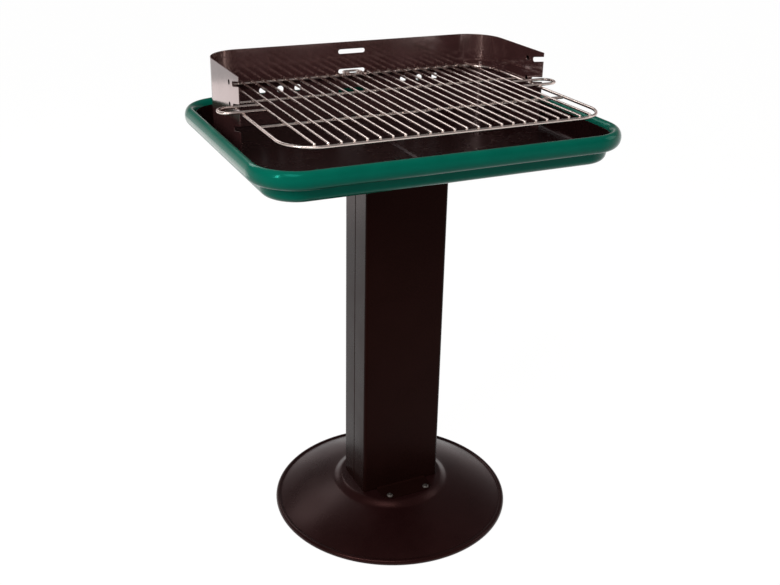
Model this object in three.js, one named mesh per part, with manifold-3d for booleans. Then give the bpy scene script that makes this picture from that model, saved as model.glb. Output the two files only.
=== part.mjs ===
// A pedestal charcoal barbecue. Millimetres, +Z up, the foot stands on Z = 0 and the cook stands at -Y.
// Pressed foot, folded two-part column, rolled-rim tray with a fire pan in it, slotted wind guard
// and a welded wire grid that hooks into the guard at one of three levels.

import * as THREE from 'three';
import { mergeVertices } from 'three/addons/utils/BufferGeometryUtils.js';
import Module from 'manifold-3d';

// Sizes used everywhere
const clearance = 0.3; // gap between pieces that touch
const overrun = 3; // how far a cutter runs past what it cuts
const bendNotch = 1.5; // slit on each side of a tab that turns out of a sheet's edge

// Foot
const footRadius = 220;
const footHeight = 52; // top of the raised seat
const footSheet = 1.5;
const footRollRadius = 5.5;
const seatRadius = 100;
const seatFillet = 3;
const shoulderRun = 5;
const shoulderDrop = 9;
const domeRunShare = 0.55; // lifts the dome's middle above a plain cone
const domeDropShare = 0.35;

// Column
const columnHeight = 644.4;
const columnWidth = 152;
const columnDepth = 92;
const columnSheet = 1.5;
const columnCorner = 6;
const columnBend = 3; // inner radius where a flange turns out of the web
const seamLap = 12; // how far the rear half tucks into the front half
const joggleRun = 2;
const flangeWidth = 100;
const flangeCorner = 15;
const flangeMargin = 2; // from the flange's corners to the seat's edge
const flangeScrewEdge = 8; // from the flange's outer edge to its screws
const flangeScrewSpacing = 73.4;

// Tray
const trayWidth = 630;
const trayDepth = 470;
const trayCorner = 77;
const trayHeight = 53; // underside of the floor to the top of the rolled rim
const traySheet = 1.2;
const rimRadius = 9;
const trayBottomRadius = 12.6;
const trayWallInset = 25; // from the rim's centre line in to the centre line of the bottom radius

// Fire pan
const panSheet = 1.2;
const panDrop = 0.5; // from the rim's centre line down to the pan's edge
const ribHalfWidth = 7;
const ribCrestHalfWidth = 3;
const ribHeight = 2.8;
const ribFrontInset = 18; // from the flat floor's front edge to the rib
const ribRearInset = 58;

// Wind guard
const guardHeight = 135;
const guardSheet = 1.2;
const guardCorner = 60;
const guardSideInset = 8.5; // from the edge of the pan's flat floor to the wings
const guardBackInset = 1.5;
const wingLength = 204.5;
const levelDrop = 18; // from the top edge to the highest grid level
const levelPitch = 35;
const levelCount = 3;
const slotDepth = 29; // from the wing's front edge to a seated lug wire
const slotHeight = 8;
const slotAngle = THREE.MathUtils.degToRad(11.3); // the slots run down towards the back
const catchHoleRadius = 4.5;
const catchHoleBehind = 21; // from a seated lug wire to the hole behind it
const catchHoleCount = 2;
const rearSlotWidth = 51;
const rearSlotHeight = 8;
const ventRadius = 6;
const ventLift = 60.6; // above the guard's bottom edge
const ventFirst = 103;
const ventPitch = 32.5;
const ventCount = 3; // on each side of the middle
const tabWidth = 22;
const tabLength = 18;
const tabCorner = 6;
const tabBend = 1.5; // inner radius where a tab turns in
const tabScrewEdge = 9; // from the tab's end to its screw
const tabShare = 0.46; // where a wing's tab sits along the wing, from its front edge

// Grid
const gridLevel = 1; // 0 is the highest
const gridGap = 2; // between the frame and the guard
const gridDepth = 410; // over the wires
const frameWire = 2.5; // radii of the wires
const barWire = 2;
const lugWire = 2.5;
const hookWire = 2;
const barCount = 24;
const firstBarInset = 37.7;
const barOverhang = 1.5;
const crossSpacing = 150;
const lugReach = 32.5; // how far a lug stands out from its wing
const lugFrontGap = 5; // from the wing's front edge to the lug's front leg
const hookWidth = 36; // over the wires
const hookReach = 7.5; // how far the hook stands out behind the guard
const hookLeg = 24; // from the frame's rear wire to the ends of the hook's legs
const hookBend = 8;

// Fasteners: shank and head radius, head height, nut width across flats, nut height, end past the nut
const flangeScrew = { shank: 2.5, head: 5.5, headHeight: 3.2, nutFlats: 8, nutHeight: 4, tail: 2 };
const guardScrew = { shank: 2, head: 4, headHeight: 2.6, nutFlats: 7, nutHeight: 3.2, tail: 1.5 };
const headRimShare = 0.35; // straight part of a screw head's height

// Facets
const footSegments = 44;
const rollStep = 30; // degrees
const quadrantSteps = 8;
const cornerSteps = 6;
const bendSteps = 4;
const wireSides = 8;
const screwSegments = 10;
const holeSegments = 12;

// Places worked out from the sizes
const columnFoot = footHeight + clearance;
const columnHead = columnFoot + columnHeight;
const trayUnderside = columnHead + clearance;
const rimCentre = trayUnderside + trayHeight - rimRadius;
const trayFloorTop = trayUnderside + traySheet;
const panFloorTop = trayFloorTop + clearance + panSheet;
const cornerX = trayWidth / 2 - trayCorner;
const cornerY = trayDepth / 2 - trayCorner;
const floorRadius = trayCorner - rimRadius - trayWallInset; // of the flat floor's corners
const guardBottom = panFloorTop + clearance;
const guardTop = guardBottom + guardHeight;
const guardHalf = cornerX + floorRadius - guardSideInset;
const guardBack = cornerY + floorRadius - guardBackInset;
const wingFront = guardBack - wingLength;
const lugY = wingFront + slotDepth;
const lugZ = levelHeight(gridLevel);
const frameZ = lugZ - lugWire - clearance - frameWire;
const barZ = frameZ + frameWire + clearance + barWire;
const hookZ = frameZ + frameWire + clearance + hookWire;
const frameHalf = guardHalf - guardSheet - gridGap - frameWire;
const frameCorner = guardCorner - guardSheet - gridGap - frameWire;
const frameHalfDepth = gridDepth / 2 - frameWire;
const frameMiddle = guardBack - guardSheet - gridGap - frameWire - frameHalfDepth;
const firstBar = frameHalf - firstBarInset;
const barPitch = (2 * firstBar) / (barCount - 1);
const flangeReach = Math.sqrt(seatRadius ** 2 - (flangeWidth / 2) ** 2) - flangeMargin;
const flangeScrewPlaces = [[-1, -1], [1, -1], [-1, 1], [1, 1]].map(([sideX, sideY]) => [
  sideX * flangeScrewSpacing / 2,
  sideY * (flangeReach - flangeScrewEdge),
]);
const columnFlange = {
  sheet: columnSheet,
  bend: columnBend,
  length: flangeReach - columnDepth / 2,
  width: flangeWidth,
  corner: flangeCorner,
};
const guardTab = {
  sheet: guardSheet,
  bend: tabBend,
  length: tabLength,
  width: tabWidth,
  corner: tabCorner,
};
const tabY = wingFront + tabShare * wingLength;
const tabs = [
  { x: guardSheet - guardHalf, y: tabY, turn: Math.PI / 2 },
  { x: 0, y: guardBack - guardSheet, turn: 0 },
  { x: guardHalf - guardSheet, y: tabY, turn: -Math.PI / 2 },
];
const tabScrewPlaces = tabs.map(({ x, y, turn }) => [
  x + (tabLength - tabScrewEdge) * Math.sin(turn),
  y - (tabLength - tabScrewEdge) * Math.cos(turn),
]);

function levelHeight(level) {
  return guardTop - levelDrop - level * levelPitch;
}

// Finishes
function finish(color, roughness, metalness) {
  return () => new THREE.MeshStandardMaterial({ color, roughness, metalness });
}
const glossBlack = finish(0x1d1513, 0.25, 0);
const blackEnamel = finish(0x1a1211, 0.12, 0);
const greenEnamel = finish(0x006a50, 0.2, 0);
const chrome = finish(0xcfc8c4, 0.2, 1);
const zinc = finish(0xc4c2bd, 0.35, 1);

// Solids: closed three.js geometry is joined and cut as a manifold
const wasm = await Module();
wasm.setup();

function solid(geometry) {
  const bare = geometry.clone();
  bare.deleteAttribute('normal');
  bare.deleteAttribute('uv');
  const merged = mergeVertices(bare);
  return new wasm.Manifold(new wasm.Mesh({
    numProp: 3,
    vertProperties: new Float32Array(merged.attributes.position.array),
    triVerts: new Uint32Array(merged.index.array),
  }));
}

function join(body, ...others) {
  return others.reduce((whole, other) => whole.add(solid(other)), body);
}

function cut(body, ...tools) {
  return tools.reduce((rest, tool) => rest.subtract(solid(tool)), body);
}

function piece(name, geometry, material) {
  const mesh = new THREE.Mesh(geometry, material());
  mesh.name = name;
  return mesh;
}

function geometryOf(body) {
  const { vertProperties, triVerts } = body.getMesh();
  const geometry = new THREE.BufferGeometry();
  geometry.setAttribute('position', new THREE.BufferAttribute(vertProperties, 3));
  geometry.setIndex(new THREE.BufferAttribute(triVerts, 1));
  return geometry;
}

function solidPiece(name, body, material) {
  const geometry = geometryOf(body);
  geometry.computeVertexNormals();
  return piece(name, geometry, material);
}

// Outlines: lists of points, with round stretches as arcs
function point(x, y) {
  return new THREE.Vector2(x, y);
}

function arc(centreX, centreY, radius, fromDegrees, toDegrees, steps) {
  return Array.from({ length: steps + 1 }, (_, step) => {
    const angle = THREE.MathUtils.degToRad(THREE.MathUtils.lerp(fromDegrees, toDegrees, step / steps));
    return point(centreX + radius * Math.cos(angle), centreY + radius * Math.sin(angle));
  });
}

// A line moved sideways, to the right of its direction of travel
function moved(line, distance) {
  const normals = line.slice(1).map((end, i) => {
    const along = end.clone().sub(line[i]).normalize();
    return point(along.y, -along.x);
  });
  return line.map((at, i) => {
    const before = normals[Math.max(i - 1, 0)];
    const after = normals[Math.min(i, normals.length - 1)];
    const mitre = before.clone().add(after).divideScalar(1 + before.dot(after));
    return at.clone().addScaledVector(mitre, distance);
  });
}

// The section of a bent sheet, which lies to the right of the line
function sheetSection(line, thickness) {
  return [...moved(line, thickness), ...line.toReversed()];
}

function stadium(halfWidth, radius) {
  const straight = halfWidth - radius;
  return [
    ...arc(straight, 0, radius, -90, 90, cornerSteps),
    ...arc(-straight, 0, radius, 90, 270, cornerSteps),
  ];
}

// Forms
function extruded(outline, depth) {
  return new THREE.ExtrudeGeometry(new THREE.Shape(outline), { depth, bevelEnabled: false });
}

// An outline given in Y and Z, extruded to both sides of X = 0
function extrudedAcross(outline, width) {
  return extruded(outline, width)
    .translate(0, 0, -width / 2)
    .applyMatrix4(new THREE.Matrix4().set(0, 0, 1, 0, 1, 0, 0, 0, 0, 1, 0, 0, 0, 0, 0, 1));
}

function rod(radius, length, sides) {
  return new THREE.CylinderGeometry(radius, radius, length, sides);
}

function turned(outline, segments) {
  return new THREE.LatheGeometry(outline, segments).rotateX(Math.PI / 2);
}

// A round form, turned from its section and drawn apart into a rounded rectangle that keeps its radii
function drawnOut(outline, spreadX, spreadY, steps) {
  const halfSegment = Math.PI / (4 * steps);
  const flats = 1 / Math.cos(halfSegment);
  const form = new THREE.LatheGeometry(outline, 4 * steps, halfSegment).scale(flats, 1, flats);
  const position = form.attributes.position;
  for (let i = 0; i < position.count; i++) {
    position.setX(i, position.getX(i) + Math.sign(position.getX(i)) * spreadX);
    position.setZ(i, position.getZ(i) + Math.sign(position.getZ(i)) * spreadY);
  }
  return form.rotateX(Math.PI / 2);
}

// A wire's centre line, which steps only at its points
class WirePath extends THREE.Curve {
  constructor(points) {
    super();
    this.points = points;
  }

  getPointAt(share) {
    return this.points[Math.round(share * (this.points.length - 1))].clone();
  }

  getTangentAt(share) {
    const at = Math.round(share * (this.points.length - 1));
    const into = this.direction(Math.max(at - 1, 0));
    const onward = this.direction(Math.min(at, this.points.length - 2));
    return into.add(onward).normalize();
  }

  direction(from) {
    return this.points[from + 1].clone().sub(this.points[from]).normalize();
  }
}

// A bent wire whose centre line lies flat at one height
function bentWire(line, height, radius) {
  const path = new WirePath(line.map(({ x, y }) => new THREE.Vector3(x, y, height)));
  const section = new THREE.Shape(arc(0, 0, radius, 0, 360, wireSides).slice(1));
  return new THREE.ExtrudeGeometry(section, { extrudePath: path, steps: line.length - 1 });
}

// A flange that turns out of a wall's lower edge towards -Y, from the wall's near face at Y = 0
function lowerFlange({ sheet, bend, length, width, corner }) {
  const strip = extrudedAcross(sheetSection([
    point(-length - overrun, sheet),
    ...arc(-bend, sheet + bend, bend, -90, 0, bendSteps),
    point(0, sheet + 2 * bend),
  ], sheet), width + 2 * overrun);
  const plan = extruded([
    point(width / 2, sheet + overrun),
    point(-width / 2, sheet + overrun),
    ...arc(corner - width / 2, corner - length, corner, 180, 270, bendSteps),
    ...arc(width / 2 - corner, corner - length, corner, 270, 360, bendSteps),
  ], sheet + 2 * (bend + overrun)).translate(0, 0, -overrun);
  return geometryOf(solid(strip).intersect(solid(plan)));
}

// What is cut from the wall's edge for that flange
function flangeRelief({ sheet, bend, width }) {
  return new THREE.BoxGeometry(width + 2 * bendNotch, 2 * (sheet + overrun), 2 * (sheet + bend));
}

// Screws and nuts
function screwHoles(screw, places, top, bottom) {
  const length = top - bottom + 2 * overrun;
  return places.map(([x, y]) => rod(screw.shank + clearance, length, holeSegments)
    .rotateX(Math.PI / 2)
    .translate(x, y, (top + bottom) / 2));
}

function panHeadScrew(screw, length) {
  const rim = headRimShare * screw.headHeight;
  const crown = new THREE.EllipseCurve(0, rim, screw.head, screw.headHeight - rim, 0, Math.PI / 2);
  return turned([
    point(0, -length),
    point(screw.shank, -length),
    point(screw.shank, 0),
    point(screw.head, 0),
    ...crown.getPoints(bendSteps),
  ], screwSegments);
}

function hexNut(screw) {
  const corner = screw.nutFlats / 2 / Math.cos(Math.PI / 6);
  const outline = new THREE.Shape(arc(0, 0, corner, 0, 300, 5));
  outline.holes.push(new THREE.Path(arc(0, 0, screw.shank + clearance, 360, 0, holeSegments).slice(1)));
  return new THREE.ExtrudeGeometry(outline, { depth: screw.nutHeight, bevelEnabled: false });
}

// Screws with their heads on the upper height and their nuts under the lower one
function screwSet(name, screw, places, upper, lower) {
  const nutFoot = lower - clearance - screw.nutHeight;
  return places.flatMap(([x, y], i) => {
    const bolt = panHeadScrew(screw, upper + clearance - nutFoot + screw.tail);
    return [
      piece(`${name}_screw_${i + 1}`, bolt.translate(x, y, upper + clearance), zinc),
      piece(`${name}_nut_${i + 1}`, hexNut(screw).translate(x, y, nutFoot), zinc),
    ];
  });
}

// Foot: a pressed dome with a curled edge and a raised seat for the column
function foot() {
  const curlRadius = footRollRadius / Math.cos(THREE.MathUtils.degToRad(rollStep / 2));
  const curl = arc(footRadius - footRollRadius, footRollRadius, curlRadius, 135, -135, 270 / rollStep);
  const valley = point(seatRadius + shoulderRun, footHeight - shoulderDrop);
  const pull = point(
    THREE.MathUtils.lerp(valley.x, curl[0].x, domeRunShare),
    THREE.MathUtils.lerp(valley.y, curl[0].y, domeDropShare),
  );
  const line = [
    point(0, footHeight),
    ...arc(seatRadius - seatFillet, footHeight - seatFillet, seatFillet, 90, 25, bendSteps),
    ...new THREE.QuadraticBezierCurve(valley, pull, curl[0]).getPoints(cornerSteps),
    ...curl.slice(1),
  ];
  const dome = solid(turned(sheetSection(line, footSheet), footSegments));
  const holes = screwHoles(flangeScrew, flangeScrewPlaces, footHeight, footHeight - footSheet);
  return solidPiece('base_dome', cut(dome, ...holes), glossBlack);
}

// Column: two folded halves that lap at mid depth, each with a flange at its foot and at its head
function frontLine() {
  const [halfX, halfY] = [columnWidth / 2, columnDepth / 2];
  return [
    point(halfX, 0),
    ...arc(halfX - columnCorner, columnCorner - halfY, columnCorner, 0, -90, bendSteps),
    ...arc(columnCorner - halfX, columnCorner - halfY, columnCorner, -90, -180, bendSteps),
    point(-halfX, 0),
  ];
}

function rearLine() {
  const [halfX, halfY] = [columnWidth / 2, columnDepth / 2];
  const lapX = halfX - columnSheet - clearance;
  return [
    point(-lapX, -seamLap),
    point(-lapX, clearance),
    point(-halfX, clearance + joggleRun),
    ...arc(columnCorner - halfX, halfY - columnCorner, columnCorner, 180, 90, bendSteps),
    ...arc(halfX - columnCorner, halfY - columnCorner, columnCorner, 90, 0, bendSteps),
    point(halfX, clearance + joggleRun),
    point(lapX, clearance),
    point(lapX, -seamLap),
  ];
}

function columnHalf(name, line, turn) {
  const atFoot = (form) => form.translate(0, -columnDepth / 2, columnFoot).rotateZ(turn);
  const atHead = (form) => form.clone().rotateY(Math.PI).translate(0, 0, columnFoot + columnHead);
  const wrap = solid(extruded(sheetSection(line, columnSheet), columnHead - columnFoot)
    .translate(0, 0, columnFoot));
  const relief = atFoot(flangeRelief(columnFlange));
  const flange = atFoot(lowerFlange(columnFlange));
  const body = join(cut(wrap, relief, atHead(relief)), flange, atHead(flange));
  const holes = [
    ...screwHoles(flangeScrew, flangeScrewPlaces, columnFoot + columnSheet, columnFoot),
    ...screwHoles(flangeScrew, flangeScrewPlaces, columnHead, columnHead - columnSheet),
  ];
  return solidPiece(name, cut(body, ...holes), glossBlack);
}

// Tray and fire pan: the pan's wall follows the tray's at the clearance
function wallLine(top) {
  const bottomCentre = trayUnderside + trayBottomRadius;
  const inner = trayBottomRadius - traySheet;
  const wallHead = trayCorner - 2 * rimRadius;
  const lean = Math.atan2(wallHead - floorRadius - inner, rimCentre - bottomCentre);
  return [
    point(0, trayFloorTop),
    ...arc(floorRadius, bottomCentre, inner, -90, -THREE.MathUtils.radToDeg(lean), bendSteps),
    point(wallHead - (rimCentre - top) * Math.tan(lean), top),
  ];
}

function tray() {
  const curl = arc(trayCorner - rimRadius, rimCentre, rimRadius, 180, -120, 300 / rollStep);
  const section = sheetSection([...wallLine(rimCentre), ...curl.slice(1)], traySheet);
  const dish = solid(drawnOut(section, cornerX, cornerY, quadrantSteps));
  const holes = [
    ...screwHoles(flangeScrew, flangeScrewPlaces, trayFloorTop, trayUnderside),
    ...screwHoles(guardScrew, tabScrewPlaces, trayFloorTop, trayUnderside),
  ];
  return solidPiece('tray', cut(dish, ...holes), greenEnamel);
}

function firePan() {
  const line = moved(wallLine(rimCentre - panDrop), -clearance - panSheet);
  const dish = solid(drawnOut(sheetSection(line, panSheet), cornerX, cornerY, quadrantSteps));
  const crest = panFloorTop + ribHeight;
  const under = panFloorTop - panSheet;
  const flank = [point(0, crest), point(ribCrestHalfWidth, crest), point(ribHalfWidth, panFloorTop)];
  const hollow = moved(flank, panSheet);
  const halfFloor = cornerY + floorRadius;
  const ribMiddle = (ribFrontInset - ribRearInset) / 2;
  const ribSpread = halfFloor - (ribFrontInset + ribRearInset) / 2;
  const rib = drawnOut([
    point(0, (panFloorTop + under) / 2),
    point(ribHalfWidth, (panFloorTop + under) / 2),
    ...flank.toReversed(),
  ], 0, ribSpread, bendSteps).translate(0, ribMiddle, 0);
  const ribInside = drawnOut([
    point(0, under - overrun),
    point(hollow[2].x, under - overrun),
    ...hollow.toReversed(),
  ], 0, ribSpread, bendSteps).translate(0, ribMiddle, 0);
  const holes = [
    ...screwHoles(flangeScrew, flangeScrewPlaces, panFloorTop, under),
    ...screwHoles(guardScrew, tabScrewPlaces, panFloorTop, under),
  ];
  return solidPiece('fire_pan', cut(join(dish, rib), ribInside, ...holes), blackEnamel);
}

// Wind guard: one strip bent round three sides, slotted for the grid's lugs and hook
function wingSlot(level) {
  const length = (slotDepth + overrun) / Math.cos(slotAngle);
  const rise = slotHeight / 2 - lugWire - clearance; // a seated wire lies low in its slot
  const outline = [
    ...arc(0, 0, slotHeight / 2, -90, 90, cornerSteps),
    point(-length, slotHeight / 2),
    point(-length, -slotHeight / 2),
  ];
  const origin = point(0, 0);
  const placed = outline.map((at) => at
    .add(point(0, rise))
    .rotateAround(origin, -slotAngle)
    .add(point(lugY, levelHeight(level))));
  return extrudedAcross(placed, 2 * (guardHalf + overrun));
}

function catchHole(level) {
  return rod(catchHoleRadius, 2 * (guardHalf + overrun), holeSegments)
    .rotateZ(Math.PI / 2)
    .translate(0, lugY + catchHoleBehind, levelHeight(level));
}

function rearSlot(level) {
  const lift = rearSlotHeight / 2 - hookWire - clearance;
  return extruded(stadium(rearSlotWidth / 2, rearSlotHeight / 2), guardSheet + 2 * overrun)
    .rotateX(Math.PI / 2)
    .translate(0, guardBack + overrun, levelHeight(level) + hookZ - lugZ + lift);
}

function vent(x) {
  return rod(ventRadius, guardSheet + 2 * overrun, holeSegments)
    .translate(x, guardBack - guardSheet / 2, guardBottom + ventLift);
}

function windGuard() {
  const line = [
    point(-guardHalf, wingFront),
    ...arc(guardCorner - guardHalf, guardBack - guardCorner, guardCorner, 180, 90, quadrantSteps),
    ...arc(guardHalf - guardCorner, guardBack - guardCorner, guardCorner, 90, 0, quadrantSteps),
    point(guardHalf, wingFront),
  ];
  const strip = solid(extruded(sheetSection(line, guardSheet), guardHeight).translate(0, 0, guardBottom));
  const levels = Array.from({ length: levelCount }, (_, level) => level);
  const vents = Array.from({ length: ventCount }, (_, i) => ventFirst + i * ventPitch);
  const atTabs = (form) => tabs.map(({ x, y, turn }) => form.clone().rotateZ(turn).translate(x, y, guardBottom));
  const body = cut(
    join(cut(strip, ...atTabs(flangeRelief(guardTab))), ...atTabs(lowerFlange(guardTab))),
    ...levels.map(wingSlot),
    ...levels.slice(0, catchHoleCount).map(catchHole),
    ...levels.map(rearSlot),
    ...vents.flatMap((x) => [vent(-x), vent(x)]),
    ...screwHoles(guardScrew, tabScrewPlaces, guardBottom + guardSheet, guardBottom),
  );
  return solidPiece('wind_guard', body, blackEnamel);
}

// Grid: a wire frame with bars and cross wires, two lugs and a hook
function gridFrame() {
  const section = arc(frameCorner, frameZ, frameWire, 0, 360, wireSides);
  const form = drawnOut(section, frameHalf - frameCorner, frameHalfDepth - frameCorner, quadrantSteps);
  return piece('grid_frame', form.translate(0, frameMiddle, 0), chrome);
}

// Each bar ends on the frame's front and rear wires, also where they bend away at the corners
function gridBar(i) {
  const x = i * barPitch - firstBar;
  const intoCorner = Math.max(Math.abs(x) - frameHalf + frameCorner, 0);
  const bendDrop = frameCorner - Math.sqrt(frameCorner ** 2 - intoCorner ** 2);
  const bar = rod(barWire, 2 * (frameHalfDepth - bendDrop + barOverhang), wireSides);
  return piece(`grid_bar_${String(i + 1).padStart(2, '0')}`, bar.translate(x, frameMiddle, barZ), chrome);
}

function gridCross(name, side) {
  const cross = rod(frameWire, 2 * (frameHalf - frameWire - clearance), wireSides).rotateZ(Math.PI / 2);
  return piece(name, cross.translate(0, frameMiddle + side * crossSpacing / 2, frameZ), chrome);
}

function gridLug(name, side) {
  const inner = firstBar + barWire + clearance;
  const frontLeg = wingFront - lugFrontGap;
  const bend = (lugY - frontLeg) / 2;
  const bendX = guardHalf + lugReach - lugWire - bend;
  const line = [
    point(inner, lugY),
    ...arc(bendX, frontLeg + bend, bend, 90, -90, 2 * cornerSteps),
    point(inner, frontLeg),
  ];
  return piece(name, bentWire(line.map(({ x, y }) => point(side * x, y)), lugZ, lugWire), chrome);
}

function gridHook() {
  const half = hookWidth / 2 - hookWire;
  const ends = frameMiddle + frameHalfDepth - hookLeg;
  const back = guardBack + hookReach - hookWire;
  const line = [
    point(-half, ends),
    ...arc(hookBend - half, back - hookBend, hookBend, 180, 90, cornerSteps),
    ...arc(half - hookBend, back - hookBend, hookBend, 90, 0, cornerSteps),
    point(half, ends),
  ];
  return piece('grid_rear_hook', bentWire(line, hookZ, hookWire), chrome);
}

const stand = new THREE.Group();
stand.add(
  foot(),
  columnHalf('column_front_shell', frontLine(), 0),
  columnHalf('column_rear_shell', rearLine(), Math.PI),
  ...screwSet('foot', flangeScrew, flangeScrewPlaces, columnFoot + columnSheet, footHeight - footSheet),
  tray(),
  firePan(),
  ...screwSet('head', flangeScrew, flangeScrewPlaces, panFloorTop, columnHead - columnSheet),
  windGuard(),
  ...screwSet('guard', guardScrew, tabScrewPlaces, guardBottom + guardSheet, trayUnderside),
);

const grid = new THREE.Group();
grid.add(
  gridFrame(),
  ...Array.from({ length: barCount }, (_, i) => gridBar(i)),
  gridCross('grid_cross_front', -1),
  gridCross('grid_cross_rear', 1),
  gridLug('grid_lug_left', -1),
  gridLug('grid_lug_right', 1),
  gridHook(),
);

const barbecue = new THREE.Group();
barbecue.add(stand, grid);

export default barbecue;
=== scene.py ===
# %% [markdown]
# # A pedestal charcoal barbecue
# A pressed steel foot carries a folded column, the column carries a green enamelled tray with a black
# fire pan in it, a slotted guard keeps the wind off, and a chromed wire grid hooks into the guard.
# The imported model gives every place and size. Blender gives the sheet its rolled edges and bends, the
# wire its round section and its welds, and each surface its finish.

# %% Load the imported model
import math

import bmesh
import bpy
from mathutils import Matrix, Vector
from mathutils.geometry import interpolate_bezier


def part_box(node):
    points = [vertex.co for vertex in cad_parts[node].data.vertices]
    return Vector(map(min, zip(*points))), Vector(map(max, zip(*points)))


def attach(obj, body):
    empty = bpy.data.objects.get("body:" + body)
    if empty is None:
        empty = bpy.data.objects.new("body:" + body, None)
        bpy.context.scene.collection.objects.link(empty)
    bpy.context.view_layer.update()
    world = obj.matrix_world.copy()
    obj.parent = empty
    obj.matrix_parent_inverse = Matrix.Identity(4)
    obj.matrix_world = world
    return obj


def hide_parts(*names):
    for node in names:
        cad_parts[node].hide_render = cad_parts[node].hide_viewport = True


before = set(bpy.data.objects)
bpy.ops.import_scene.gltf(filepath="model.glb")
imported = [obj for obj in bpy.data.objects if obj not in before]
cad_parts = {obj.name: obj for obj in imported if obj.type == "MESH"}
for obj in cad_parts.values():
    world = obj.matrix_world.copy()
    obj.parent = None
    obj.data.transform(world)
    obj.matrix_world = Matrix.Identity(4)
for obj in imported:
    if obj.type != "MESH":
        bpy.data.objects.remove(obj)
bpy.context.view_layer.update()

# %% [markdown]
# ## Millimetres and two drawing moves
# The whole barbecue is bent sheet and bent wire, and both can be drawn the way a bending machine works:
# hold the loose end, push it straight on, or swing it round a centre. On a single vertex these moves
# draw a line, on a line they draw a sheet, and on a ring they draw a wire. In bmesh the push is an
# extrusion and the swing is a spin, so no list of vertices is ever worked out by hand.

# %% Millimetres, push and swing
ALONG_X, ALONG_Y, ALONG_Z = Vector((1, 0, 0)), Vector((0, 1, 0)), Vector((0, 0, 1))
FACING_X = Matrix.Rotation(math.radians(90), 4, "Y")
FACING_Y = Matrix.Rotation(math.radians(90), 4, "X")


def mm(*place):
    """A place or a step written in millimetres, in Blender's metres."""
    return Vector(place) / 1000


def verts_of(geometry):
    """The vertices among the results of an operator."""
    return [item for item in geometry if isinstance(item, bmesh.types.BMVert)]


def once(items):
    """Each item once, in its order."""
    return list(dict.fromkeys(items))


def push(bm, end, *step):
    """Extrude the loose end by a step and return the new end."""
    end = bmesh.ops.extrude_face_region(bm, geom=end)["geom"]
    bmesh.ops.translate(bm, verts=verts_of(end), vec=mm(*step))
    return end


def swing(bm, end, centre, axis, degrees, steps):
    """Spin the loose end round a centre and return the new end."""
    turn = math.radians(degrees)
    return bmesh.ops.spin(bm, geom=end, cent=mm(*centre), axis=axis, angle=turn, steps=steps)["geom_last"]


def start(*place):
    """A new mesh that holds one vertex, the first end of a line."""
    bm = bmesh.new()
    return bm, [bm.verts.new(mm(*place))]


def reach(bm, end, *places):
    """Push the end of a line straight to each place in turn."""
    for place in places:
        end = push(bm, end, *(Vector(place) - verts_of(end)[0].co * 1000))
    return end


# %% [markdown]
# ## From a drawing to sheet metal
# A drawn sheet has no thickness yet. First its doubles are merged, then its faces are turned to look the
# same way, and only then does it get its wall, because turning them later would flip the inner wall.
# Edges that bend more than 35 degrees stay sharp in the shading, all others are smooth. A narrow bevel
# then rounds the cut edges of the sheet, since those catch a thin line of light on every real pressing,
# and weighted normals keep the large flat panels flat beside it.

# %% Thickness and shading
SHARP_DEGREES = 35
SAME_PLACE = 0.01  # millimetres within which two places count as one


def thicken(bm, wall):
    """Give a drawn sheet its wall, on the side that its faces look away from."""
    bmesh.ops.solidify(bm, geom=bm.faces[:], thickness=wall / 1000)


def merged(bm):
    """Merge doubles and turn the faces to one side."""
    bmesh.ops.remove_doubles(bm, verts=bm.verts[:], dist=SAME_PLACE / 1000)
    bmesh.ops.recalc_face_normals(bm, faces=bm.faces[:])


def turned(bm, steps):
    """Spin half a section once round the upright axis, like a piece on a lathe."""
    bmesh.ops.spin(bm, geom=bm.verts[:] + bm.edges[:], axis=ALONG_Z, angle=math.tau, steps=steps,
                   use_merge=True)
    merged(bm)


def shade(bm):
    """Smooth shading, apart from open edges and edges that bend more than the sharp angle."""
    limit = math.radians(SHARP_DEGREES)
    for face in bm.faces:
        face.smooth = True
    for edge in bm.edges:
        edge.smooth = len(edge.link_faces) == 2 and edge.calc_face_angle(0) < limit


def soften(piece, width):
    """Round the sharp edges by a width in millimetres and keep the flats flat."""
    rounding = piece.modifiers.new("rounded edges", "BEVEL")
    rounding.width = width / 1000
    rounding.segments = 2
    rounding.limit_method = "ANGLE"
    rounding.angle_limit = math.radians(SHARP_DEGREES)
    flats = piece.modifiers.new("flat panels", "WEIGHTED_NORMAL")
    flats.keep_sharp = True


# %% [markdown]
# ## From sheet metal to a piece of the barbecue
# Each finished piece is parented to an empty for the body that it rides on, so that the grid slides as a
# whole. It takes the material of its slot, or of a finish given in its place, and it hides the nodes of the
# imported model that it stands for. Its place is in its mesh, and its object stays at the origin. The mesh
# is sorted by place first, because bmesh's own order changes from run to run, and a boolean or a bevel can
# end a hair differently in another order. How far a piece's box is from its nodes' box is printed, which
# shows at once when a size has slipped.

# %% The finished object
RANKING = Vector((1, 7.31, 53.7))  # uneven, so that no two places of a symmetric drawing rank alike


def rank(item):
    """A number that follows the place of a vertex, or of the middle of an edge or a face."""
    verts = [item] if isinstance(item, bmesh.types.BMVert) else item.verts
    return sum((v.co for v in verts), Vector()).dot(RANKING) / len(verts)


def placed(name, bm):
    """Turn a drawing, sorted by place, into an object of the scene."""
    for items in (bm.verts, bm.edges, bm.faces):
        items.sort(key=rank)
    mesh = bpy.data.meshes.new(name)
    bm.to_mesh(mesh)
    bm.free()
    made = bpy.data.objects.new(name, mesh)
    bpy.context.scene.collection.objects.link(made)
    return made


def finish_piece(name, bm, body, slot, *nodes, edge=0, finish=None):
    """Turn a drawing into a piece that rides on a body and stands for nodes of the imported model."""
    shade(bm)
    piece = placed(name, bm)
    piece.data.materials.append(finishes[finish or slot])
    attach(piece, body)
    if edge:
        soften(piece, edge)
    if nodes:
        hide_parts(*nodes)
    report(piece, *nodes)


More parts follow.
